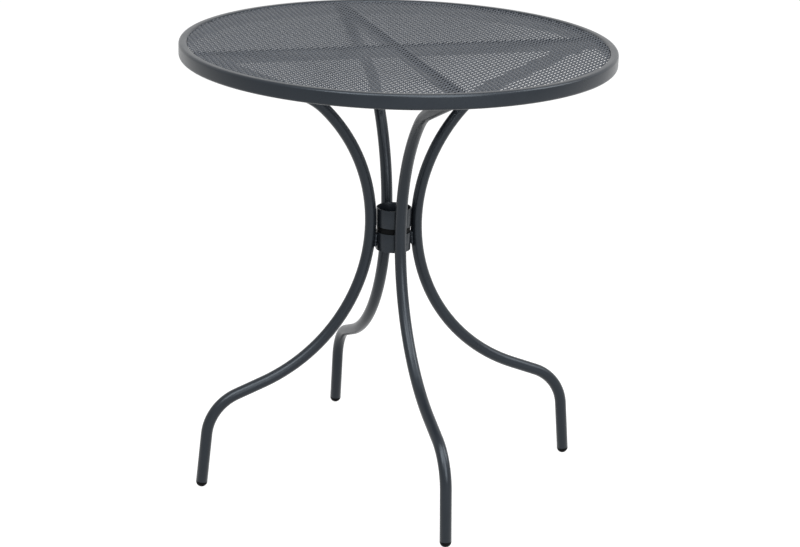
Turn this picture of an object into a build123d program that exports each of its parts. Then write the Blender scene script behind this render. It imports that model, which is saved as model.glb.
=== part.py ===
from build123d import *
import math
import os

# All sizes are in millimetres and degrees, +Z up, origin on the floor below the centre.

# Whole table
top_diameter = 700.0
table_height = 735.0

# Rim tube
rim_height = 24.0
rim_width = 14.0
rim_corner = 4.5
rim_corner_flats = 4
rim_wall = 1.2

# Mesh panel, set below the top of the rim and turned as it was welded in
mesh_recess = 3.0
mesh_thickness = 2.0
mesh_edge_gap = 0.2
mesh_border = 4.0
mesh_pitch_short = 37.5
mesh_pitch_long = 75.0
mesh_strand = 4.5
mesh_turn = -26.5
smallest_gap_share = 0.12

# Braces under the mesh
brace_height = 18.0
brace_width = 10.0
brace_wall = 1.2
brace_end_gap = 0.3

# Leg tube and its bends, from the upper end to the foot
tube_diameter = 19.0
tube_wall = 1.2
leg_end_inset = 65.0
shoulder_slope = 22.0
shoulder_bend_radius = 110.0
upper_turn = 45.0
waist_drop = 299.0
lower_turn = 68.6
flare_straight = 47.0
knee_bend_radius = 79.0
foot_splay = 5.5
foot_straight = 83.0

# Collars at the waist and the black sleeve that joins them
collar_diameter = 57.5
collar_wall = 1.5
collar_height = 30.5
collar_spacing = 9.5
collar_drop = 9.5
collar_leg_gap = 0.8
sleeve_inset = 1.2
sleeve_wall = 3.0
sleeve_reach = 14.0

# Weld beads between legs and collars
weld_width = 8.0
weld_length = 23.0
weld_edge = 2.0
weld_clearance = 0.1

# Plastic foot caps
foot_flat_radius = 4.0
cap_spigot_length = 15.0
spigot_clearance = 0.25

# Steel tongues that end the legs under the braces
tongue_length = 43.0
tongue_width = 19.0
tongue_thickness = 4.0
tongue_corner = 6.0
tongue_spigot_length = 12.0
neck_length = 26.0
neck_tip_radius = 3.0
tube_end_drop = 0.3

# Fasteners at the tongues
screw_diameter = 5.0
screw_head_diameter = 9.5
screw_head_height = 3.0
screw_head_edge = 1.0
screw_socket_size = 3.0
screw_socket_depth = 1.8
screw_inset = 10.0
screw_hole_clearance = 0.25
insert_diameter = 7.0
insert_length = 10.0
insert_flange_diameter = 9.6
insert_flange = 0.8
insert_clearance = 0.1
seat_clearance = 0.1

# Directions of the legs, counted from +X towards +Y
leg_angles = {"right": 0.0, "back": 90.0, "left": 180.0, "front": 270.0}

# Rim and top
top_radius = top_diameter / 2
rim_inner_radius = top_radius - rim_width
mesh_radius = rim_inner_radius - mesh_edge_gap
mesh_top = table_height - mesh_recess
mesh_bottom = mesh_top - mesh_thickness
brace_middle = mesh_bottom - brace_height / 2
brace_bottom = mesh_bottom - brace_height
brace_end = rim_inner_radius - brace_end_gap

# Legs
tube_radius = tube_diameter / 2
tube_bore = tube_radius - tube_wall
tongue_top = brace_bottom - insert_flange - seat_clearance
slope_sine = math.sin(math.radians(shoulder_slope))
slope_cosine = math.cos(math.radians(shoulder_slope))
leg_end_radius = rim_inner_radius - leg_end_inset
leg_end_height = tongue_top - tube_radius * slope_cosine - tube_end_drop
waist_height = table_height - waist_drop
waist_radius = collar_diameter / 2 + collar_leg_gap + tube_radius
foot_centre_height = math.sqrt(tube_radius**2 - foot_flat_radius**2)

# The upper bend and the straight shoulder take what is left between the waist and the leg's end
upper_sine = math.sin(math.radians(upper_turn))
upper_cosine = math.cos(math.radians(upper_turn))
reach_left = leg_end_radius - waist_radius - shoulder_bend_radius * (upper_cosine - slope_sine)
rise_left = leg_end_height - waist_height - shoulder_bend_radius * (slope_cosine - upper_sine)
turn_share = slope_cosine * upper_sine - slope_sine * (1 - upper_cosine)
upper_bend_radius = (slope_cosine * rise_left - slope_sine * reach_left) / turn_share
shoulder_straight = (upper_sine * reach_left - (1 - upper_cosine) * rise_left) / turn_share

# The lower bend takes what is left between the waist and the knee
turn_sine = math.sin(math.radians(lower_turn))
turn_cosine = math.cos(math.radians(lower_turn))
splay_sine = math.sin(math.radians(foot_splay))
splay_cosine = math.cos(math.radians(foot_splay))
knee_drop = knee_bend_radius * (turn_sine - splay_sine)
foot_drop = foot_straight * splay_cosine
flare_drop = flare_straight * turn_cosine
lower_drop = waist_height - foot_centre_height - knee_drop - foot_drop - flare_drop
lower_bend_radius = lower_drop / turn_sine

# Collars
collar_radius = collar_diameter / 2
collar_bore = collar_radius - collar_wall
collar_middle = waist_height - collar_drop
upper_collar_bottom = collar_middle + collar_spacing / 2
lower_collar_bottom = collar_middle - collar_spacing / 2 - collar_height
sleeve_flange_radius = collar_radius - sleeve_inset
sleeve_radius = collar_bore - spigot_clearance
sleeve_bore = sleeve_radius - sleeve_wall

# Fasteners
screw_radius = screw_diameter / 2
screw_hole_radius = screw_radius + screw_hole_clearance
screw_position = leg_end_radius + tongue_length - screw_inset
tongue_bottom = tongue_top - tongue_thickness
screw_tip = brace_bottom + insert_length - insert_flange
insert_radius = insert_diameter / 2


def turned(shape, angle):
    """Return the shape turned about the table's upright axis."""
    return Rot(0, 0, angle) * shape


def upright_cylinder(radius, bottom, height):
    """Return a cylinder on the upright axis that stands on the given height."""
    return Pos(0, 0, bottom) * Cylinder(radius, height, align=(Align.CENTER, Align.CENTER, Align.MIN))


def upright_ring(outer_radius, inner_radius, bottom, height):
    """Return a ring on the upright axis that stands on the given height."""
    outer = upright_cylinder(outer_radius, bottom, height)
    inner = upright_cylinder(inner_radius, bottom, height)
    return outer - inner


def rounded_outline(width, height, corner):
    """Return an upright rectangle with corners rounded off in short flats."""
    points = []
    for side, level, start in ((1, -1, 270), (1, 1, 0), (-1, 1, 90), (-1, -1, 180)):
        for flat in range(rim_corner_flats + 1):
            angle = math.radians(start + 90 * flat / rim_corner_flats)
            across = side * (width / 2 - corner) + corner * math.cos(angle)
            up = level * (height / 2 - corner) + corner * math.sin(angle)
            points.append((across, up))
    return make_face(Polyline(*points, close=True))


def make_rim():
    """Return the hollow hoop with rounded corners."""
    outside = rounded_outline(rim_width, rim_height, rim_corner)
    inside = rounded_outline(rim_width - 2 * rim_wall, rim_height - 2 * rim_wall, rim_corner - rim_wall)
    section = Pos(top_radius - rim_width / 2, table_height - rim_height / 2) * (outside - inside)
    return revolve(Plane.XZ * section, Axis.Z)


def mesh_gaps():
    """Return the outlines of the mesh panel's diamond gaps."""
    clear_radius = mesh_radius - mesh_border
    slant = math.hypot(mesh_pitch_short, mesh_pitch_long)
    shrink = 1 - mesh_strand * slant / (mesh_pitch_short * mesh_pitch_long)
    half_short = shrink * mesh_pitch_short / 2
    half_long = shrink * mesh_pitch_long / 2
    smallest = smallest_gap_share * 2 * half_short * half_long
    corners = [(half_short, 0), (0, half_long), (-half_short, 0), (0, -half_long)]
    diamond = make_face(Polyline(*corners, close=True))
    clear = Circle(clear_radius).face()
    outlines = []
    rows = math.ceil(2 * clear_radius / mesh_pitch_long)
    columns = math.ceil(clear_radius / mesh_pitch_short)
    for row in range(-rows, rows + 1):
        for column in range(-columns - 1, columns + 1):
            across = (column + 0.5 * (row % 2)) * mesh_pitch_short
            along = row * mesh_pitch_long / 2
            reaches = [math.hypot(across + x, along + y) for x, y in corners]
            gap = (Pos(across, along) * diamond).face()
            if max(reaches) < clear_radius:
                outlines.append(gap.outer_wire())
            elif min(reaches) < clear_radius:
                cut = (gap & clear).faces()
                outlines += [face.outer_wire() for face in cut if face.area > smallest]
    return outlines


def make_mesh():
    """Return the mesh panel as one holed disc."""
    outlines = mesh_gaps()
    print("mesh gaps", len(outlines))
    edge = Circle(mesh_radius).face().outer_wire()
    net = Face(edge, outlines)
    panel = extrude(net, mesh_thickness, dir=(0, 0, 1))
    return Pos(0, 0, mesh_bottom) * turned(panel, mesh_turn)


def brace_tube(start, end):
    """Return a length of brace tube along +X between two distances from the centre."""
    outside = Rectangle(brace_width, brace_height)
    inside = Rectangle(brace_width - 2 * brace_wall, brace_height - 2 * brace_wall)
    section = Plane.YZ * (outside - inside)
    tube = extrude(section, end - start, dir=(1, 0, 0))
    return Pos(start, 0, brace_middle) * tube


def insert_hole():
    """Return the cut for a threaded insert in the underside of a brace."""
    radius = insert_radius + insert_clearance
    return Pos(screw_position, 0, brace_bottom) * Cylinder(radius, 4 * brace_wall)


def make_long_brace():
    """Return the brace that runs through from left to right."""
    brace = brace_tube(-brace_end, brace_end)
    return brace - insert_hole() - turned(insert_hole(), 180)


def make_half_brace():
    """Return one half of the other brace, along +X from the long brace's side."""
    return brace_tube(brace_width / 2, brace_end) - insert_hole()


def leg_line():
    """Return the centre line of the leg along +X, from the upper end to the foot."""
    end = Vector(leg_end_radius, leg_end_height)
    shoulder = Line(end, end - shoulder_straight * Vector(slope_cosine, slope_sine))
    shoulder_bend = JernArc(shoulder @ 1, shoulder % 1, shoulder_bend_radius, 90 - upper_turn - shoulder_slope)
    upper_bend = JernArc(shoulder_bend @ 1, shoulder_bend % 1, upper_bend_radius, upper_turn)
    lower_bend = JernArc(upper_bend @ 1, upper_bend % 1, lower_bend_radius, lower_turn)
    flare = Line(lower_bend @ 1, (lower_bend @ 1) + flare_straight * (lower_bend % 1))
    knee = JernArc(flare @ 1, flare % 1, knee_bend_radius, foot_splay - lower_turn)
    foot = Line(knee @ 1, (knee @ 1) + foot_straight * (knee % 1))
    return Plane.XZ * Wire([shoulder.edge(), shoulder_bend.edge(), upper_bend.edge(), lower_bend.edge(),
                            flare.edge(), knee.edge(), foot.edge()])


def swept_on(line, section):
    """Return the section swept along the line from its start."""
    start = Plane(origin=line @ 0, z_dir=line % 0)
    return sweep(start * section, path=line)


def make_leg(line):
    """Return the leg tube along +X."""
    return swept_on(line, Circle(tube_radius) - Circle(tube_bore))


def make_foot_cap(line):
    """Return the domed cap in the foot of the leg along +X, flat where it meets the floor."""
    seat = Plane(origin=line @ 1, z_dir=line % 1)
    dome = seat.location * Sphere(tube_radius)
    below_tube = extrude(seat * Circle(2 * tube_radius), 2 * tube_radius)
    above_floor = Pos((line @ 1).X, 0, 0) * Box(
        4 * tube_radius, 4 * tube_radius, 4 * tube_radius, align=(Align.CENTER, Align.CENTER, Align.MIN))
    head = dome & below_tube & above_floor
    spigot = extrude(seat * Circle(tube_bore - spigot_clearance), -cap_spigot_length)
    return head + spigot


def make_leg_tongue(line):
    """Return the tongue in the upper end of the leg along +X, flat below its brace."""
    seat = Plane(origin=line @ 0, z_dir=line % 0 * -1)
    spigot = extrude(seat * Circle(tube_bore - spigot_clearance), -tongue_spigot_length)
    neck = seat.location * Cone(
        tube_radius, neck_tip_radius, neck_length, align=(Align.CENTER, Align.CENTER, Align.MIN))
    flat = Pos(leg_end_radius, 0, tongue_top) * Box(
        tongue_length, tongue_width, tongue_thickness, align=(Align.MIN, Align.CENTER, Align.MAX))
    flat = fillet(flat.edges().filter_by(Axis.Z).group_by(Axis.X)[-1], tongue_corner)
    below_brace = Pos(leg_end_radius, 0, tongue_top) * Box(
        2 * tongue_length, 2 * tongue_width, 2 * tongue_width, align=(Align.CENTER, Align.CENTER, Align.MAX))
    hole = Pos(screw_position, 0, tongue_top) * Cylinder(screw_hole_radius, 4 * tongue_thickness)
    return (neck & below_brace) + spigot + flat - hole


def make_sleeve():
    """Return the black sleeve with its band between the collars and a spigot in each."""
    band_bottom = collar_middle - collar_spacing / 2
    band = upright_cylinder(sleeve_flange_radius, band_bottom, collar_spacing)
    length = collar_spacing + 2 * sleeve_reach
    tube = upright_cylinder(sleeve_radius, band_bottom - sleeve_reach, length)
    bore = upright_cylinder(sleeve_bore, band_bottom - sleeve_reach, length)
    return band + tube - bore


def make_weld(line, bottom):
    """Return the bead between a collar and the leg along +X, standing on the given height."""
    block = Pos(waist_radius / 2, 0, bottom) * Box(
        waist_radius, weld_width, weld_length, align=(Align.CENTER, Align.CENTER, Align.MIN))
    collar = upright_cylinder(collar_radius + weld_clearance, bottom - weld_edge, weld_length + 2 * weld_edge)
    leg = swept_on(line, Circle(tube_radius + weld_clearance))
    return block - collar - leg


def make_insert():
    """Return one threaded insert in the brace along +X."""
    body = Pos(screw_position, 0, brace_bottom) * Cylinder(
        insert_radius, insert_length, align=(Align.CENTER, Align.CENTER, Align.MIN))
    flange = Pos(screw_position, 0, brace_bottom) * Cylinder(
        insert_flange_diameter / 2, insert_flange, align=(Align.CENTER, Align.CENTER, Align.MAX))
    bore = Pos(screw_position, 0, brace_bottom) * Cylinder(screw_hole_radius, 4 * insert_length)
    return body + flange - bore


def make_screw():
    """Return one screw that holds the tongue along +X to its brace."""
    shank = Pos(screw_position, 0, tongue_bottom) * Cylinder(
        screw_radius, screw_tip - tongue_bottom, align=(Align.CENTER, Align.CENTER, Align.MIN))
    head = Pos(screw_position, 0, tongue_bottom) * Cylinder(
        screw_head_diameter / 2, screw_head_height, align=(Align.CENTER, Align.CENTER, Align.MAX))
    head = fillet(head.edges().group_by(Axis.Z)[0], screw_head_edge)
    socket_outline = RegularPolygon(screw_socket_size / 2, 6, major_radius=False)
    socket = extrude(Pos(screw_position, 0, tongue_bottom - screw_head_height) * socket_outline,
                     screw_socket_depth)
    return shank + head - socket


def four_of(shape):
    """Return one copy of the shape at each leg."""
    return Compound(children=[turned(shape, angle) for angle in leg_angles.values()])


def make_parts():
    """Return every piece of the table by its name."""
    line = leg_line()
    leg = make_leg(line)
    cap = make_foot_cap(line)
    tongue = make_leg_tongue(line)
    half_brace = make_half_brace()
    upper_weld = make_weld(line, upper_collar_bottom + weld_edge)
    lower_weld = make_weld(line, lower_collar_bottom + collar_height - weld_edge - weld_length)
    parts = {
        "rim": make_rim(),
        "mesh_panel": make_mesh(),
        "long_brace": make_long_brace(),
        "front_brace": turned(half_brace, leg_angles["front"]),
        "back_brace": turned(half_brace, leg_angles["back"]),
        "upper_collar": upright_ring(collar_radius, collar_bore, upper_collar_bottom, collar_height),
        "lower_collar": upright_ring(collar_radius, collar_bore, lower_collar_bottom, collar_height),
        "centre_sleeve": make_sleeve(),
        "weld_front": turned(upper_weld, leg_angles["front"]),
        "weld_back": turned(upper_weld, leg_angles["back"]),
        "weld_left": turned(lower_weld, leg_angles["left"]),
        "weld_right": turned(lower_weld, leg_angles["right"]),
        "threaded_inserts": four_of(make_insert()),
        "leg_screws": four_of(make_screw()),
    }
    for side, angle in leg_angles.items():
        parts["leg_" + side] = turned(leg, angle)
        parts["foot_cap_" + side] = turned(cap, angle)
        parts["leg_tongue_" + side] = turned(tongue, angle)
    return parts


os.makedirs("parts", exist_ok=True)
for name, shape in make_parts().items():
    export_step(shape, "parts/" + name + ".step")
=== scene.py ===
"""Dresses the garden table: a round mesh top on four bent tube legs that two collars hold."""

import logging
import math
from dataclasses import dataclass
from enum import Enum

import bpy
from mathutils import Matrix, Vector


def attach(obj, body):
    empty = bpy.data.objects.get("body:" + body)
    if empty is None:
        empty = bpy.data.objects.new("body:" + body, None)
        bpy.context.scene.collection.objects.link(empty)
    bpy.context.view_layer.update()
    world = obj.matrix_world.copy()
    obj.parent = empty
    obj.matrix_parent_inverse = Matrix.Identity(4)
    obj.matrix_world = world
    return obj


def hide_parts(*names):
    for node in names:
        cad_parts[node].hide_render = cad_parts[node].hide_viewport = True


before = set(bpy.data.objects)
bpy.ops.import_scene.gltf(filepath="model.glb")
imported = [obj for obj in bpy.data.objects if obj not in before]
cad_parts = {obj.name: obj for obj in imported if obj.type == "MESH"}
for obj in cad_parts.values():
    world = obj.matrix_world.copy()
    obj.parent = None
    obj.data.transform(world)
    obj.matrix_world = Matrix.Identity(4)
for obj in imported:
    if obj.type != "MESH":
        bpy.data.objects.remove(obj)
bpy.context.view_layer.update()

log = logging.getLogger("garden_table")

Triple = tuple[float, float, float]

# Points closer than this, in metres, are one point. Spins and arrays close less exactly.
FINE_MERGE = 1e-6
SPIN_MERGE = 1e-5

# Edges that turn by more than this are rounded.
SHARP_EDGE = math.radians(40.0)


class Slot(Enum):
    """The record's material slots."""

    POWDER_COAT = "powder_coat"
    MESH_COAT = "mesh_coat"
    BLACK_PLASTIC = "black_plastic"
    ZINC_STEEL = "zinc_steel"


class Side(Enum):
    """Where a leg stands, as degrees from +X towards +Y."""

    RIGHT = 0.0
    BACK = 90.0
    LEFT = 180.0
    FRONT = 270.0

    @property
    def word(self) -> str:
        """The side's name as the nodes spell it."""
        return self.name.lower()

    @property
    def turn(self) -> float:
        """The side's direction in radians."""
        return math.radians(self.value)


def shaded(colour: Triple, share: float) -> Triple:
    """Return the colour made darker or lighter by a share."""
    return tuple(channel * share for channel in colour)


def opaque(colour: Triple) -> tuple[float, float, float, float]:
    """Return the colour with a full alpha channel."""
    return (*colour, 1.0)


def grey(level: float) -> tuple[float, float, float, float]:
    """Return an opaque grey of that level."""
    return opaque((level, level, level))


class NodeBoard:
    """A node tree, with short ways to add nodes and join them."""

    # The part of a noise's values that a range or a blend of colours is stretched over.
    noise_low = 0.3
    noise_high = 0.7

    def __init__(self, tree: bpy.types.NodeTree, output: str) -> None:
        """Empty a tree and give it an output node.

        Args:
            tree: The node tree of a material or of the world.
            output: The output node's type.
        """
        self.tree = tree
        self.tree.nodes.clear()
        self.output = self.add(output)

    def add(self, kind: str, values: dict[str, object] | None = None,
            **settings: object) -> bpy.types.Node:
        """Add a node.

        Args:
            kind: The node's type.
            values: The values of its inputs by name.
            settings: Its own settings by name.

        Returns:
            The new node.
        """
        node = self.tree.nodes.new(kind)
        for name, value in settings.items():
            setattr(node, name, value)
        for name, value in (values or {}).items():
            node.inputs[name].default_value = value
        return node

    def join(self, source: bpy.types.Node, out: str | int, target: bpy.types.Node,
             socket: str | int) -> None:
        """Link one node's output to another node's input.

        Args:
            source: The node that gives the value.
            out: Its output's name or number.
            target: The node that takes the value.
            socket: Its input's name or number.
        """
        self.tree.links.new(source.outputs[out], target.inputs[socket])

    def noise(self, scale: float, detail: float, rough: float) -> bpy.types.Node:
        """Add a noise pattern on the piece's own coordinates.

        Args:
            scale: Repeats in a metre.
            detail: Octaves of finer noise.
            rough: Share of the finer octaves.

        Returns:
            The noise node.
        """
        place = self.add("ShaderNodeTexCoord")
        noise = self.add("ShaderNodeTexNoise", {
            "Scale": scale, "Detail": detail, "Roughness": rough})
        self.join(place, "Object", noise, "Vector")
        return noise

    def spread(self, noise: bpy.types.Node, low: float, high: float) -> bpy.types.Node:
        """Stretch a noise to a range of values.

        Args:
            noise: The noise node.
            low: The value where the noise is weak.
            high: The value where the noise is strong.

        Returns:
            The map range node, with its answer in Result.
        """
        node = self.add("ShaderNodeMapRange", {
            "From Min": self.noise_low, "From Max": self.noise_high, "To Min": low, "To Max": high})
        self.join(noise, "Fac", node, "Value")
        return node

    def tint(self, noise: bpy.types.Node, dark: Triple, light: Triple) -> bpy.types.Node:
        """Turn a noise into a blend of two colours.

        Args:
            noise: The noise node.
            dark: The colour where the noise is weak.
            light: The colour where the noise is strong.

        Returns:
            The colour ramp node, with its answer in Color.
        """
        ramp = self.add("ShaderNodeValToRGB")
        weak, strong = ramp.color_ramp.elements
        weak.position, weak.color = self.noise_low, opaque(dark)
        strong.position, strong.color = self.noise_high, opaque(light)
        self.join(noise, "Fac", ramp, "Fac")
        return ramp

    def relief(self, noise: bpy.types.Node, strength: float, depth: float) -> bpy.types.Node:
        """Turn a noise into surface relief.

        Args:
            noise: The noise node.
            strength: How much of the relief shows.
            depth: The relief's depth in metres.

        Returns:
            The bump node, with its answer in Normal.
        """
        bump = self.add("ShaderNodeBump", {"Strength": strength, "Distance": depth})
        self.join(noise, "Fac", bump, "Height")
        return bump

    def seen(self) -> bpy.types.Node:
        """Add the test for rays that the eye follows: straight, mirrored or through glass.

        Returns:
            The node with the answer in Value.
        """
        path = self.add("ShaderNodeLightPath")
        mirrored = self.add("ShaderNodeMath", operation="MAXIMUM")
        self.join(path, "Is Glossy Ray", mirrored, 0)
        self.join(path, "Is Transmission Ray", mirrored, 1)
        seen = self.add("ShaderNodeMath", operation="MAXIMUM")
        self.join(path, "Is Camera Ray", seen, 0)
        self.join(mirrored, "Value", seen, 1)
        return seen

    def show(self, shown: bpy.types.Node, other: bpy.types.Node) -> None:
        """Put one shader before the eye and another before all other rays.

        Args:
            shown: The shader that the eye meets.
            other: The shader that other rays meet.
        """
        mix = self.add("ShaderNodeMixShader")
        self.join(self.seen(), "Value", mix, "Fac")
        self.join(other, 0, mix, 1)
        self.join(shown, 0, mix, 2)
        self.join(mix, "Shader", self.output, "Surface")


def new_material(name: str) -> tuple[bpy.types.Material, NodeBoard]:
    """Start a material with only its output node.

    Args:
        name: The material's name.

    Returns:
        The material and the board with its nodes.
    """
    material = bpy.data.materials.new(name)
    material.use_nodes = True
    return material, NodeBoard(material.node_tree, "ShaderNodeOutputMaterial")


@dataclass(frozen=True)
class Finish:
    """A surface with slow colour drift, uneven gloss and fine relief."""

    name: str
    slot: Slot
    colour: Triple
    drift: float
    drift_scale: float
    roughness: float
    roughness_spread: float
    grain_scale: float
    grain_strength: float
    grain_depth: float
    specular: float = 0.5
    gloss_tint: Triple = (1.0, 1.0, 1.0)
    metallic: float = 0.0
    drift_detail: float = 3.0
    drift_fineness: float = 0.5
    grain_detail: float = 2.0
    grain_fineness: float = 0.55

    def material(self) -> bpy.types.Material:
        """Build the finish's node tree.

        Returns:
            The material.
        """
        material, board = new_material(self.name)
        shader = board.add("ShaderNodeBsdfPrincipled", {
            "Metallic": self.metallic, "Specular IOR Level": self.specular,
            "Specular Tint": opaque(self.gloss_tint)})
        clouds = board.noise(self.drift_scale, self.drift_detail, self.drift_fineness)
        tint = board.tint(clouds, shaded(self.colour, 1 - self.drift),
                          shaded(self.colour, 1 + self.drift))
        gloss = board.spread(clouds, self.roughness - self.roughness_spread,
                             self.roughness + self.roughness_spread)
        grain = board.noise(self.grain_scale, self.grain_detail, self.grain_fineness)
        relief = board.relief(grain, self.grain_strength, self.grain_depth)
        board.join(tint, "Color", shader, "Base Color")
        board.join(gloss, "Result", shader, "Roughness")
        board.join(relief, "Normal", shader, "Normal")
        board.join(shader, "BSDF", board.output, "Surface")
        return material


# Painted shade: this copy of the table's one anthracite paint is made darker than the paint itself,
# to offset the white studio that its gloss mirrors.
POWDER_COAT = Finish(
    name="anthracite_coat_painted_darker", slot=Slot.POWDER_COAT, colour=(0.0095, 0.0118, 0.0155),
    drift=0.08, drift_scale=22.0, roughness=0.30, roughness_spread=0.03,
    grain_scale=1500.0, grain_strength=0.12, grain_depth=0.0002,
    specular=0.36, gloss_tint=(0.80, 0.90, 1.0))
# Painted light: the same anthracite paint as the frame's, about four times lighter here for the
# light that the strands catch.
MESH_COAT = Finish(
    name="anthracite_coat_painted_lighter", slot=Slot.MESH_COAT, colour=(0.041, 0.047, 0.058),
    drift=0.10, drift_scale=45.0, roughness=0.34, roughness_spread=0.05,
    grain_scale=1800.0, grain_strength=0.12, grain_depth=0.0002,
    specular=0.50, gloss_tint=(0.88, 0.94, 1.0))
# Partly the plastic's own black and partly painted shade: the colour is made darker still for the
# shade in the gap between the collars, where the sleeve's band shows. The foot caps share it.
BLACK_PLASTIC = Finish(
    name="black_plastic_darkened_for_shade", slot=Slot.BLACK_PLASTIC, colour=(0.0040, 0.0044, 0.0048),
    drift=0.12, drift_scale=60.0, roughness=0.48, roughness_spread=0.05,
    grain_scale=2600.0, grain_strength=0.30, grain_depth=0.00015, specular=0.05)
ZINC_STEEL = Finish(
    name="bright_zinc_plate", slot=Slot.ZINC_STEEL, colour=(0.56, 0.57, 0.58),
    drift=0.10, drift_scale=160.0, roughness=0.33, roughness_spread=0.07,
    grain_scale=2200.0, grain_strength=0.15, grain_depth=0.0001, metallic=1.0)


class Wardrobe:
    """The finishes' materials, each made once."""

    def __init__(self) -> None:
        """Start with no material made."""
        self.made: dict[str, bpy.types.Material] = {}

    def material(self, finish: Finish) -> bpy.types.Material:
        """Return the finish's material, made when it is first asked for.

        Args:
            finish: The finish.

        Returns:
            The material.
        """
        if finish.name not in self.made:
            self.made[finish.name] = finish.material()
        return self.made[finish.name]


class Bench:
    """Modelling moves that the pieces share."""

    def __init__(self, wardrobe: Wardrobe) -> None:
        """Keep the materials that finished pieces take.

        Args:
            wardrobe: The finishes' materials.
        """
        self.wardrobe = wardrobe

    def clear(self) -> None:
        """Deselect everything."""
        bpy.ops.object.select_all(action="DESELECT")

    def pick(self, piece: bpy.types.Object) -> None:
        """Select one piece alone and make it the active one.

        Args:
            piece: The piece.
        """
        self.clear()
        piece.select_set(True)
        bpy.context.view_layer.objects.active = piece

    def settle(self) -> bpy.types.Object:
        """Move the active piece's place, turn and scale into its mesh, and return it."""
        bpy.ops.object.transform_apply(location=True, rotation=True, scale=True)
        return bpy.context.active_object

    def place(self, piece: bpy.types.Object, centre: Triple, turn: Triple = (0, 0, 0)) -> None:
        """Turn a piece about the origin and move it, all in its mesh.

        Args:
            piece: The piece.
            centre: Where the origin goes.
            turn: The turn, as Euler angles.
        """
        self.pick(piece)
        piece.rotation_euler = turn
        piece.location = centre
        self.settle()

    def plate(self, length: float, width: float) -> bpy.types.Object:
        """Add a flat plate round the origin.

        Args:
            length: Its size along X.
            width: Its size along Y.

        Returns:
            The plate.
        """
        self.clear()
        bpy.ops.mesh.primitive_plane_add(size=1.0, location=(0, 0, 0))
        bpy.context.active_object.scale = (length, width, 1.0)
        return self.settle()

    def ring(self, radius: float, centre: Triple | Vector, points: int,
             turn: Triple = (0, 0, 0)) -> bpy.types.Object:
        """Add a ring of edges.

        Args:
            radius: The ring's radius.
            centre: Its centre.
            points: Its number of points.
            turn: Its turn from lying flat, as Euler angles.

        Returns:
            The ring's object.
        """
        self.clear()
        bpy.ops.mesh.primitive_circle_add(
            vertices=points, radius=radius, fill_type="NOTHING", location=centre, rotation=turn)
        return self.settle()

    def pin(self, radius: float, length: float, centre: Triple, points: int) -> bpy.types.Object:
        """Add an upright round block.

        Args:
            radius: The block's radius.
            length: Its height.
            centre: Its centre.
            points: The number of points round it.

        Returns:
            The block.
        """
        self.clear()
        bpy.ops.mesh.primitive_cylinder_add(
            vertices=points, radius=radius, depth=length, location=centre)
        return self.settle()

    def edit(self) -> None:
        """Open the active piece in edit mode with all of it selected."""
        bpy.ops.object.mode_set(mode="EDIT")
        bpy.ops.mesh.select_mode(type="VERT")
        bpy.ops.mesh.select_all(action="SELECT")

    def done(self) -> None:
        """Leave edit mode."""
        bpy.ops.object.mode_set(mode="OBJECT")

    def round_corners(self, radius: float, steps: int) -> None:
        """Round the corners of a plate in edit mode, and select all of it."""
        bpy.ops.mesh.bevel(offset=radius, segments=steps, affect="VERTICES")
        bpy.ops.mesh.select_all(action="SELECT")

    def keep_outline(self) -> None:
        """Drop a plate's face in edit mode, and select the outline that is left."""
        bpy.ops.mesh.delete(type="ONLY_FACE")
        bpy.ops.mesh.select_all(action="SELECT")

    def select_open(self) -> None:
        """Select the edges round open ends in edit mode."""
        bpy.ops.mesh.select_all(action="DESELECT")
        bpy.ops.mesh.select_non_manifold(extend=False)

    def extrude(self, offset: Triple | Vector) -> None:
        """Extrude what is selected by an offset."""
        bpy.ops.mesh.extrude_region_move(TRANSFORM_OT_translate={"value": offset})

    def flare(self, factor: float, centre: Triple) -> None:
        """Extrude what is selected in place and scale it about an upright axis.

        Args:
            factor: The scale across the axis.
            centre: A point on the axis, level with the ring.
        """
        self.extrude((0, 0, 0))
        bpy.ops.transform.resize(value=(factor, factor, 1.0), center_override=centre)

    def trim(self, point: Triple | Vector, normal: Triple | Vector, behind: bool) -> None:
        """Cut what is selected at a plane, drop one side and close the cut.

        Args:
            point: A point on the plane.
            normal: The plane's normal.
            behind: Whether the side behind the plane is dropped, or else the side before it.
        """
        bpy.ops.mesh.bisect(plane_co=point, plane_no=normal, clear_inner=behind,
                            clear_outer=not behind, use_fill=True, threshold=FINE_MERGE)

    def weld(self, distance: float = FINE_MERGE) -> None:
        """Merge doubled points and turn the faces outwards, all in edit mode."""
        bpy.ops.mesh.select_all(action="SELECT")
        bpy.ops.mesh.remove_doubles(threshold=distance)
        bpy.ops.mesh.normals_make_consistent(inside=False)

    def modify(self, piece: bpy.types.Object, kind: str, **settings: object) -> None:
        """Add a modifier to a piece and apply it.

        Args:
            piece: The piece.
            kind: The modifier's type.
            settings: Its settings by name.
        """
        self.pick(piece)
        modifier = piece.modifiers.new(kind.lower(), kind)
        for name, value in settings.items():
            setattr(modifier, name, value)
        bpy.ops.object.modifier_apply(modifier=modifier.name)

    def wall(self, piece: bpy.types.Object, thickness: float) -> None:
        """Give an open shell a wall that grows inwards."""
        self.modify(piece, "SOLIDIFY", thickness=thickness, offset=-1.0, use_even_offset=True)

    def soften(self, piece: bpy.types.Object, width: float) -> None:
        """Round a piece's sharp edges."""
        self.modify(piece, "BEVEL", width=width, segments=2, limit_method="ANGLE",
                    angle_limit=SHARP_EDGE)

    def row(self, piece: bpy.types.Object, count: int, step: Triple, **settings: object) -> None:
        """Repeat a piece in a row.

        Args:
            piece: The piece.
            count: How many of it the row has.
            step: The offset from one to the next.
            settings: Other settings of the array by name.
        """
        self.modify(piece, "ARRAY", count=count, use_relative_offset=False,
                    use_constant_offset=True, constant_offset_displace=step, **settings)

    def combine(self, piece: bpy.types.Object, tool: bpy.types.Object, operation: str) -> None:
        """Join a piece with a tool shape, or cut it by that, and remove the tool.

        Args:
            piece: The piece.
            tool: The tool shape.
            operation: The Boolean operation.
        """
        self.modify(piece, "BOOLEAN", operation=operation, solver="MANIFOLD", object=tool)
        bpy.data.objects.remove(tool)

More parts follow.
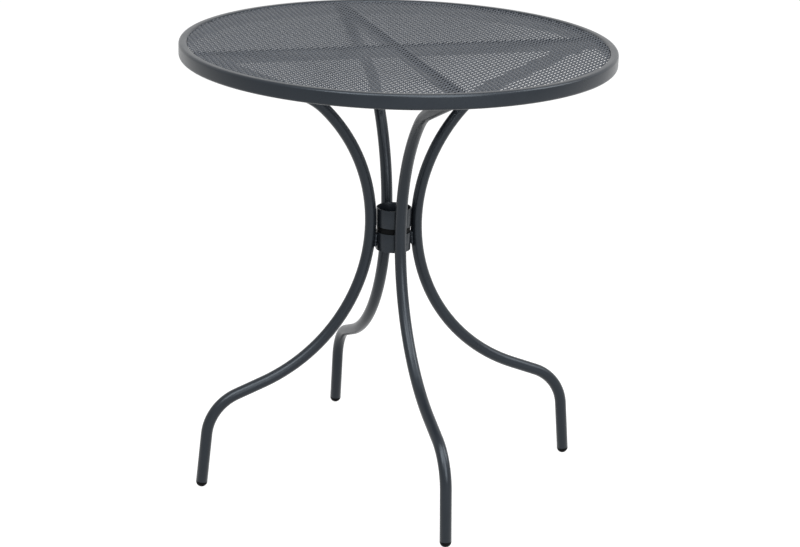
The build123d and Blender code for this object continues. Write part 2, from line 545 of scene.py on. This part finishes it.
    def copy(self, piece: bpy.types.Object, turn: float) -> bpy.types.Object:
        """Copy a piece with its own mesh, turned about the table's upright axis.

        Args:
            piece: The piece to copy.
            turn: The turn in radians.

        Returns:
            The copy.
        """
        self.pick(piece)
        bpy.ops.object.duplicate(linked=False)
        bpy.context.active_object.rotation_euler.z = turn
        return self.settle()

    def finish(self, piece: bpy.types.Object, name: str, finish: Finish, nodes: tuple[str, ...],
               crease: float = 35.0) -> None:
        """Name a piece, shade and dress it, and tie it to the frame.

        Args:
            piece: The piece.
            name: Its name.
            finish: Its finish.
            nodes: The CAD nodes that it stands for.
            crease: The edge angle in degrees above which an edge stays sharp.
        """
        self.pick(piece)
        bpy.ops.object.shade_smooth_by_angle(angle=math.radians(crease))
        piece.name = name
        piece.data.name = name
        piece.data.materials.clear()
        piece.data.materials.append(self.wardrobe.material(finish))
        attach(piece, "root")
        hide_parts(*nodes)
        log.info("%s: %d faces", name, len(piece.data.polygons))


@dataclass
class Rim:
    """The hollow hoop round the top."""

    bench: Bench
    outer_radius: float = 0.3499
    width: float = 0.014
    height: float = 0.024
    corner: float = 0.0045
    top: float = 0.735
    corner_steps: int = 6
    steps: int = 240

    def build(self) -> None:
        """Model the hoop by spinning its rounded section."""
        bench = self.bench
        hoop = bench.plate(self.width, self.height)
        bench.place(hoop, (self.outer_radius - self.width / 2, 0, self.top - self.height / 2),
                    (math.pi / 2, 0, 0))
        bench.edit()
        bench.round_corners(self.corner, self.corner_steps)
        bench.keep_outline()
        bpy.ops.mesh.spin(steps=self.steps, angle=2 * math.pi, center=(0, 0, 0), axis=(0, 0, 1))
        bench.weld(SPIN_MERGE)
        bench.done()
        bench.finish(hoop, "rim_hoop", POWDER_COAT, ("rim",))


@dataclass
class MeshTop:
    """The disc of expanded metal inside the rim."""

    bench: Bench
    radius: float = 0.3360
    bottom: float = 0.73005
    long_pitch: float = 0.0198
    short_pitch: float = 0.00915
    strand_width: float = 0.0026
    strand_thickness: float = 0.0017
    strand_tilt: float = math.radians(-35.0)
    bond_length: float = 0.0045
    turn: float = math.radians(64.4)
    spare_strands: int = 2
    cut_depth: float = 0.02
    cut_points: int = 180
    crease: float = 20.0

    def build(self) -> None:
        """Model one strand, repeat it to a sheet and cut the sheet round."""
        bench = self.bench
        sheet = self.sheet()
        disc = bench.pin(self.radius, self.cut_depth, (0, 0, self.bottom), self.cut_points)
        bench.combine(sheet, disc, "INTERSECT")
        bench.place(sheet, (0, 0, 0), (0, 0, self.turn))
        bench.finish(sheet, "mesh_net", MESH_COAT, ("mesh_panel",), self.crease)

    def sheet(self) -> bpy.types.Object:
        """Model a square sheet of rows that join at their bonds.

        Returns:
            The sheet, with its long pitch along X.
        """
        bench = self.bench
        sheet = self.strand()
        across = math.ceil(2 * self.radius / self.long_pitch) + self.spare_strands
        pairs = math.ceil(2 * self.radius / self.short_pitch) + self.spare_strands
        bench.row(sheet, across, (self.long_pitch, 0, 0), use_merge_vertices=True,
                  merge_threshold=SPIN_MERGE)
        bench.edit()
        bench.select_open()
        bpy.ops.mesh.fill_holes(sides=4)
        bench.weld()
        bench.done()
        bench.row(sheet, 2, (self.long_pitch / 2, self.short_pitch / 2, 0))
        bench.row(sheet, pairs, (0, self.short_pitch, 0))
        bench.place(sheet, (-across * self.long_pitch / 2, -pairs * self.short_pitch / 2, 0))
        return sheet

    def strand(self) -> bpy.types.Object:
        """Model one pitch of a strand: bond, rise, bond and fall, open at both ends.

        Returns:
            The strand.
        """
        bench = self.bench
        rise = self.strand_width * math.sin(self.strand_tilt)
        step = self.strand_width * math.cos(self.strand_tilt)
        middle = self.bottom + abs(rise) + self.strand_thickness / 2 * math.cos(self.strand_tilt)
        slant = self.long_pitch / 2 - self.bond_length
        climb = self.short_pitch / 2 - step
        strand = bench.plate(self.strand_thickness, self.strand_width)
        bench.place(strand, (0, 0, 0), (0, math.pi / 2, 0))
        bench.place(strand, (0, step / 2, middle + rise / 2), (self.strand_tilt, 0, 0))
        bench.edit()
        bench.keep_outline()
        bench.extrude((self.bond_length, 0, 0))
        bench.extrude((slant, climb, -rise))
        bench.extrude((self.bond_length, 0, 0))
        bench.extrude((slant, -climb, rise))
        bench.weld()
        bench.done()
        return strand


@dataclass
class Braces:
    """The cross of flat tubes under the mesh."""

    bench: Bench
    width: float = 0.010
    height: float = 0.018
    corner: float = 0.0015
    corner_steps: int = 4
    wall: float = 0.0012
    top: float = 0.730
    reach: float = 0.3357

    def build(self) -> None:
        """Model the long brace and the two halves that meet it."""
        self.tube("brace_long", -self.reach, self.reach, 0.0, "long_brace")
        self.tube("brace_front", self.width / 2, self.reach, Side.FRONT.turn, "front_brace")
        self.tube("brace_back", self.width / 2, self.reach, Side.BACK.turn, "back_brace")

    def tube(self, name: str, start: float, end: float, turn: float, node: str) -> None:
        """Model one length of tube.

        Args:
            name: The piece's name.
            start: Where it starts along its direction.
            end: Where it ends.
            turn: Its direction in radians from +X.
            node: The CAD node that it stands for.
        """
        bench = self.bench
        tube = bench.plate(self.height, self.width)
        bench.place(tube, (start, 0, self.top - self.height / 2), (0, math.pi / 2, 0))
        bench.edit()
        bench.round_corners(self.corner, self.corner_steps)
        bench.keep_outline()
        bench.extrude((end - start, 0, 0))
        bench.weld()
        bench.done()
        bench.wall(tube, self.wall)
        bench.place(tube, (0, 0, 0), (0, 0, turn))
        bench.finish(tube, name, POWDER_COAT, (node,))


@dataclass
class Legs:
    """The four bent tubes, each with a flat tongue above and a foot cap below.

    The shapes are modelled as they stand on the right, in the plane of X and Z. Slopes, turns and
    the splay are in degrees.
    """

    bench: Bench
    radius: float = 0.0095
    wall: float = 0.0012
    edge: float = 0.0003
    end_radius: float = 0.271
    end_height: float = 0.70199
    slope: float = 22.0
    shoulder_straight: float = 0.12335
    shoulder_bend: float = 0.110
    upper_bend: float = 0.27659
    upper_turn: float = 45.0
    waist_radius: float = 0.03905
    waist_height: float = 0.436
    lower_bend: float = 0.28101
    lower_turn: float = 68.6
    flare_straight: float = 0.047
    knee_bend: float = 0.079
    foot_splay: float = 5.5
    foot_straight: float = 0.083
    points: int = 40
    degrees_a_step: float = 2.5
    spigot_radius: float = 0.00805
    spigot_length: float = 0.012
    neck_length: float = 0.026
    neck_tip_radius: float = 0.003
    tongue_length: float = 0.043
    tongue_width: float = 0.019
    tongue_thickness: float = 0.004
    tongue_corner: float = 0.006
    tongue_corner_steps: int = 8
    tongue_edge: float = 0.0004
    tongue_top: float = 0.7111
    screw_hole_radius: float = 0.00275
    screw_hole_points: int = 32
    screw_inset: float = 0.010
    cap_rings: int = 28

    def build(self) -> None:
        """Model one leg with its tongue and cap, and copy each to all four sides."""
        for shape, name, finish in (
                (self.tube(), "leg", POWDER_COAT),
                (self.tongue(), "leg_tongue", POWDER_COAT),
                (self.cap(), "foot_cap", BLACK_PLASTIC)):
            for side in Side:
                twin = self.bench.copy(shape, side.turn)
                node = f"{name}_{side.word}"
                self.bench.finish(twin, f"{node}_dressed", finish, (node,))
            bpy.data.objects.remove(shape)

    def heading(self, angle: float) -> Vector:
        """Return the direction that lies at an angle in degrees from +X towards +Z."""
        return Vector((math.cos(math.radians(angle)), 0, math.sin(math.radians(angle))))

    def end(self) -> Vector:
        """Return the centre of the tube's upper end."""
        return Vector((self.end_radius, 0, self.end_height))

    def waist_centre(self, bend: float) -> Vector:
        """Return the centre of a bend of that radius that is closest to the axis at the waist."""
        return Vector((self.waist_radius + bend, 0, self.waist_height))

    def flare(self) -> Vector:
        """Return the straight run between the lower bend and the knee."""
        return self.flare_straight * self.heading(270 + self.lower_turn)

    def knee_centre(self) -> Vector:
        """Return the centre of the knee's bend."""
        below = (self.lower_bend + self.knee_bend) * self.heading(180 + self.lower_turn)
        return self.waist_centre(self.lower_bend) + below + self.flare()

    def down(self) -> Vector:
        """Return the direction in which the foot points."""
        return self.heading(270 + self.foot_splay)

    def foot(self) -> Vector:
        """Return the centre of the tube's lower end."""
        knee_end = self.knee_centre() + self.knee_bend * self.heading(self.foot_splay)
        return knee_end + self.foot_straight * self.down()

    def end_ring(self) -> bpy.types.Object:
        """Add a ring of edges round the tube's upper end, square to the shoulder."""
        tilt = math.pi / 2 - math.radians(self.slope)
        return self.bench.ring(self.radius, self.end(), self.points, (0, tilt, 0))

    def bend(self, angle: float, centre: Vector) -> None:
        """Spin the open end round a bend.

        Args:
            angle: The bend in degrees, less than 0 at the knee, which turns the other way.
            centre: The bend's centre.
        """
        steps = max(2, round(abs(angle) / self.degrees_a_step))
        bpy.ops.mesh.spin(steps=steps, angle=math.radians(angle), center=centre, axis=(0, 1, 0))

    def tube(self) -> bpy.types.Object:
        """Model the tube from its upper end to its foot.

        Returns:
            The tube.
        """
        bench = self.bench
        tube = self.end_ring()
        shoulder = self.shoulder_straight * self.heading(180 + self.slope)
        below = self.shoulder_bend * self.heading(270 + self.slope)
        bench.edit()
        bench.extrude(shoulder)
        self.bend(90 - self.upper_turn - self.slope, self.end() + shoulder + below)
        self.bend(self.upper_turn, self.waist_centre(self.upper_bend))
        self.bend(self.lower_turn, self.waist_centre(self.lower_bend))
        bench.extrude(self.flare())
        self.bend(self.foot_splay - self.lower_turn, self.knee_centre())
        bench.extrude(self.foot_straight * self.down())
        bench.weld(SPIN_MERGE)
        bench.done()
        bench.wall(tube, self.wall)
        bench.soften(tube, self.edge)
        return tube

    def tongue(self) -> bpy.types.Object:
        """Model the tongue in the tube's upper end: spigot, neck and flat.

        Returns:
            The tongue.
        """
        bench = self.bench
        tongue = self.neck()
        bench.combine(tongue, self.flat(), "UNION")
        screw = self.end_radius + self.tongue_length - self.screw_inset
        hole = bench.pin(self.screw_hole_radius, 4 * self.tongue_thickness,
                         (screw, 0, self.tongue_top), self.screw_hole_points)
        bench.combine(tongue, hole, "DIFFERENCE")
        bench.soften(tongue, self.tongue_edge)
        return tongue

    def neck(self) -> bpy.types.Object:
        """Model the spigot in the tube and the cone that runs out of it, level on top.

        Returns:
            The neck.
        """
        bench = self.bench
        neck = self.end_ring()
        outwards = self.heading(self.slope)
        tip = self.neck_tip_radius / self.radius
        tip_centre = self.end() + self.neck_length * outwards
        share = self.spigot_radius / self.radius
        bench.edit()
        bench.extrude(self.neck_length * outwards)
        bpy.ops.transform.resize(value=(tip, tip, tip), center_override=tip_centre)
        bpy.ops.mesh.edge_face_add()
        bench.select_open()
        bench.extrude((0, 0, 0))
        bpy.ops.transform.resize(value=(share, share, share), center_override=self.end())
        bench.extrude(-self.spigot_length * outwards)
        bpy.ops.mesh.edge_face_add()
        bench.weld()
        bench.trim((0, 0, self.tongue_top), (0, 0, 1), behind=False)
        bench.weld()
        bench.done()
        return neck

    def flat(self) -> bpy.types.Object:
        """Model the flat that lies below the brace.

        Returns:
            The flat.
        """
        bench = self.bench
        flat = bench.plate(self.tongue_length, self.tongue_width)
        bench.place(flat, (self.end_radius + self.tongue_length / 2, 0,
                           self.tongue_top - self.tongue_thickness))
        bench.edit()
        bench.round_corners(self.tongue_corner, self.tongue_corner_steps)
        bench.extrude((0, 0, self.tongue_thickness))
        bench.weld()
        bench.done()
        return flat

    def cap(self) -> bpy.types.Object:
        """Model the domed cap in the foot, flat on the floor.

        Returns:
            The cap.
        """
        bench = self.bench
        bench.clear()
        bpy.ops.mesh.primitive_uv_sphere_add(
            segments=self.points, ring_count=self.cap_rings, radius=self.radius,
            location=self.foot(), rotation=(0, math.radians(180 - self.foot_splay), 0))
        cap = bench.settle()
        bench.edit()
        bench.trim(self.foot(), self.down(), behind=True)
        bpy.ops.mesh.inset(thickness=self.radius - self.spigot_radius)
        bench.extrude(-self.spigot_length * self.down())
        bpy.ops.mesh.select_all(action="SELECT")
        bench.trim((0, 0, 0), (0, 0, 1), behind=True)
        bench.weld()
        bench.done()
        return cap


@dataclass
class Waist:
    """The two collars and the black sleeve between them."""

    bench: Bench
    radius: float = 0.02875
    wall: float = 0.0015
    height: float = 0.0305
    upper_bottom: float = 0.43125
    lower_bottom: float = 0.39125
    collar_edge: float = 0.0004
    sleeve_radius: float = 0.0270
    sleeve_bore: float = 0.0240
    sleeve_reach: float = 0.014
    sleeve_edge: float = 0.0003
    band_radius: float = 0.02755
    points: int = 96

    def build(self) -> None:
        """Model the collars and the sleeve."""
        self.collar("collar_upper", self.upper_bottom, "upper_collar")
        self.collar("collar_lower", self.lower_bottom, "lower_collar")
        self.sleeve()

    def collar(self, name: str, bottom: float, node: str) -> None:
        """Model one thin ring with softened edges.

        Args:
            name: The piece's name.
            bottom: The height of its lower edge.
            node: The CAD node that it stands for.
        """
        bench = self.bench
        collar = bench.ring(self.radius, (0, 0, bottom), self.points)
        bench.edit()
        bench.extrude((0, 0, self.height))
        bench.weld()
        bench.done()
        bench.wall(collar, self.wall)
        bench.soften(collar, self.collar_edge)
        bench.finish(collar, name, POWDER_COAT, (node,))

    def sleeve(self) -> None:
        """Model the sleeve: a spigot, the wider band, a second spigot and the bore."""
        bench = self.bench
        band_bottom = self.lower_bottom + self.height
        band_top = self.upper_bottom
        bottom = band_bottom - self.sleeve_reach
        top = band_top + self.sleeve_reach
        wider = self.band_radius / self.sleeve_radius
        sleeve = bench.ring(self.sleeve_radius, (0, 0, bottom), self.points)
        bench.edit()
        bench.extrude((0, 0, self.sleeve_reach))
        bench.flare(wider, (0, 0, band_bottom))
        bench.extrude((0, 0, band_top - band_bottom))
        bench.flare(1 / wider, (0, 0, band_top))
        bench.extrude((0, 0, self.sleeve_reach))
        bench.flare(self.sleeve_bore / self.sleeve_radius, (0, 0, top))
        bench.extrude((0, 0, bottom - top))
        bench.flare(self.sleeve_radius / self.sleeve_bore, (0, 0, bottom))
        bench.weld(SPIN_MERGE)
        bench.done()
        bench.soften(sleeve, self.sleeve_edge)
        # The sleeve's band takes the darkened plastic, which paints in the shade between the
        # collars.
        bench.finish(sleeve, "sleeve_black", BLACK_PLASTIC, ("centre_sleeve",))


@dataclass
class CollarWelds:
    """The lumpy beads that fill the gap between each leg and its collar."""

    bench: Bench
    legs: Legs
    waist: Waist
    length: float = 0.023
    drop: float = 0.0026
    drops: int = 8
    drop_shape: Triple = (0.85, 1.0, 0.95)
    drop_fineness: int = 3
    swell: float = 0.14
    swell_step: float = 2.3
    side_offset: float = 0.0036
    leg_offset: float = 0.0009
    upper_bottom: float = 0.43325
    lower_bottom: float = 0.39675
    melt_grid: float = 0.00045
    melt_strength: float = 0.5
    melt_rounds: int = 4
    crease: float = 60.0

    def build(self) -> None:
        """Model the upper and the lower bead, and copy each to its two legs."""
        upper = self.bead(self.upper_bottom, self.legs.upper_bend)
        lower = self.bead(self.lower_bottom, self.legs.lower_bend)
        for shape, sides in ((upper, (Side.FRONT, Side.BACK)), (lower, (Side.LEFT, Side.RIGHT))):
            for side in sides:
                twin = self.bench.copy(shape, side.turn)
                self.bench.finish(twin, f"bead_{side.word}", POWDER_COAT, (f"weld_{side.word}",),
                                  self.crease)
            bpy.data.objects.remove(shape)

    def gap_middle(self, height: float, bend: float) -> float:
        """Work out how far from the axis the middle of the gap lies.

        Args:
            height: The height at which it is wanted.
            bend: The radius of the leg's bend there.

        Returns:
            The distance from the axis.
        """
        away = height - self.legs.waist_height
        leg_middle = self.legs.waist_radius + bend - math.sqrt(bend**2 - away**2)
        return (self.waist.radius + leg_middle - self.legs.radius) / 2

    def bead(self, bottom: float, bend: float) -> bpy.types.Object:
        """Model the two rows of drops beside the right leg and melt them together.

        Args:
            bottom: The height where the bead starts.
            bend: The radius of the leg's bend there.

        Returns:
            The bead.
        """
        bench = self.bench
        made = []
        for row in (-1, 1):
            for index in range(self.drops):
                share = index / (self.drops - 1)
                height = bottom + self.drop + (self.length - 2 * self.drop) * share
                swell = 1 + self.swell * math.sin(self.swell_step * index + row)
                away = self.gap_middle(height, bend) + self.leg_offset
                bench.clear()
                bpy.ops.mesh.primitive_ico_sphere_add(
                    subdivisions=self.drop_fineness, radius=self.drop * swell,
                    location=(away, row * self.side_offset, height), scale=self.drop_shape)
                made.append(bench.settle())
        bead = made[0]
        bench.pick(bead)
        for drop in made:
            drop.select_set(True)
        bpy.ops.object.join()
        bench.modify(bead, "REMESH", mode="VOXEL", voxel_size=self.melt_grid,
                     use_smooth_shade=True)
        bench.modify(bead, "SMOOTH", factor=self.melt_strength, iterations=self.melt_rounds)
        return bead


@dataclass
class Fasteners:
    """The hidden screws and inserts, which keep their CAD shapes."""

    bench: Bench
    nodes: tuple[str, ...] = ("leg_screws", "threaded_inserts")

    def dress(self) -> None:
        """Give each node its zinc finish."""
        material = self.bench.wardrobe.material(ZINC_STEEL)
        for name in self.nodes:
            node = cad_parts[name]
            node.data.materials.clear()
            node.data.materials.append(material)
            log.info("%s: dressed", name)


@dataclass
class StudioCamera:
    """The camera where the photograph was taken from."""

    azimuth: float = math.radians(-17.569)
    distance: float = 3.537
    height: float = 1.5102
    yaw: float = math.radians(0.213)
    pitch: float = math.radians(18.195)
    roll: float = math.radians(1.774)
    lens: float = 101.70
    sensor: float = 36.0

    def build(self) -> None:
        """Place the camera."""
        data = bpy.data.cameras.new("photo_camera")
        data.lens = self.lens
        data.sensor_width = self.sensor
        data.sensor_fit = "HORIZONTAL"
        camera = bpy.data.objects.new("photo_camera", data)
        bpy.context.scene.collection.objects.link(camera)
        place = Vector((math.sin(self.azimuth), -math.cos(self.azimuth), 0)) * self.distance
        turn = (Matrix.Rotation(self.azimuth - self.yaw, 4, "Z")
                @ Matrix.Rotation(math.pi / 2 - self.pitch, 4, "X")
                @ Matrix.Rotation(self.roll, 4, "Z"))
        camera.matrix_world = Matrix.Translation((place.x, place.y, self.height)) @ turn
        bpy.context.scene.camera = camera


@dataclass
class Softbox:
    """A flat lamp that shines at the table's middle.

    Azimuth counts in degrees from the front towards +X, and elevation from the horizon upwards.
    """

    name: str
    azimuth: float
    elevation: float
    distance: float
    width: float
    height: float
    radiance: float
    aim: Triple = (0.0, 0.0, 0.45)

    def build(self) -> None:
        """Hang the lamp."""
        data = bpy.data.lights.new(self.name, "AREA")
        data.shape = "RECTANGLE"
        data.size = self.width
        data.size_y = self.height
        data.energy = self.radiance * math.pi * self.width * self.height
        lamp = bpy.data.objects.new(self.name, data)
        bpy.context.scene.collection.objects.link(lamp)
        across, up = math.radians(self.azimuth), math.radians(self.elevation)
        towards = Vector((math.sin(across) * math.cos(up), -math.cos(across) * math.cos(up),
                          math.sin(up)))
        lamp.location = Vector(self.aim) + self.distance * towards
        lamp.rotation_mode = "QUATERNION"
        lamp.rotation_quaternion = towards.to_track_quat("Z", "Y")


LAMPS = (
    Softbox("front_softbox", azimuth=8.0, elevation=46.0, distance=3.8, width=2.2, height=5.8,
            radiance=5.3),
    Softbox("left_softbox", azimuth=-44.0, elevation=48.0, distance=3.8, width=1.6, height=2.2,
            radiance=7.4),
    Softbox("right_softbox", azimuth=72.0, elevation=38.0, distance=3.8, width=1.7, height=2.0,
            radiance=5.6),
)


@dataclass
class Studio:
    """The white floor, the soft lamps and the dim room round them."""

    floor_size: float = 60.0
    floor_drop: float = 0.0002
    floor_glow: float = 0.93
    floor_paper: float = 0.25
    floor_bounce: float = 0.10
    room: float = 0.10
    room_tint: Triple = (0.97, 0.98, 1.0)

    def build(self) -> None:
        """Set up floor, lamps and room."""
        self.floor()
        self.world()
        for lamp in LAMPS:
            lamp.build()
        bpy.context.scene.view_settings.view_transform = "Standard"

    def floor(self) -> None:
        """Lay the floor, white to the eye and darker as a bounce."""
        bpy.ops.object.select_all(action="DESELECT")
        bpy.ops.mesh.primitive_plane_add(size=self.floor_size, location=(0, 0, -self.floor_drop))
        floor = bpy.context.active_object
        floor.name = "floor"
        material, board = new_material("studio_floor")
        bounce = board.add("ShaderNodeBsdfDiffuse", {"Color": grey(self.floor_bounce)})
        paper = board.add("ShaderNodeBsdfDiffuse", {"Color": grey(self.floor_paper)})
        glow = board.add("ShaderNodeEmission", {"Strength": self.floor_glow})
        white = board.add("ShaderNodeAddShader")
        board.join(paper, "BSDF", white, 0)
        board.join(glow, "Emission", white, 1)
        board.show(white, bounce)
        floor.data.materials.append(material)

    def world(self) -> None:
        """Fill the room with dim light, white to the eye."""
        world = bpy.data.worlds.new("studio_room")
        world.use_nodes = True
        bpy.context.scene.world = world
        board = NodeBoard(world.node_tree, "ShaderNodeOutputWorld")
        dim = board.add("ShaderNodeBackground", {
            "Color": opaque(self.room_tint), "Strength": self.room})
        white = board.add("ShaderNodeBackground", {"Color": grey(1.0)})
        board.show(white, dim)


def main() -> None:
    """Build the table piece by piece, then the studio round it."""
    logging.basicConfig(level=logging.INFO, format="%(message)s")
    bench = Bench(Wardrobe())
    legs = Legs(bench)
    waist = Waist(bench)
    Rim(bench).build()
    MeshTop(bench).build()
    Braces(bench).build()
    legs.build()
    waist.build()
    CollarWelds(bench, legs, waist).build()
    Fasteners(bench).dress()
    Studio().build()
    StudioCamera().build()


if __name__ == "__main__":
    main()
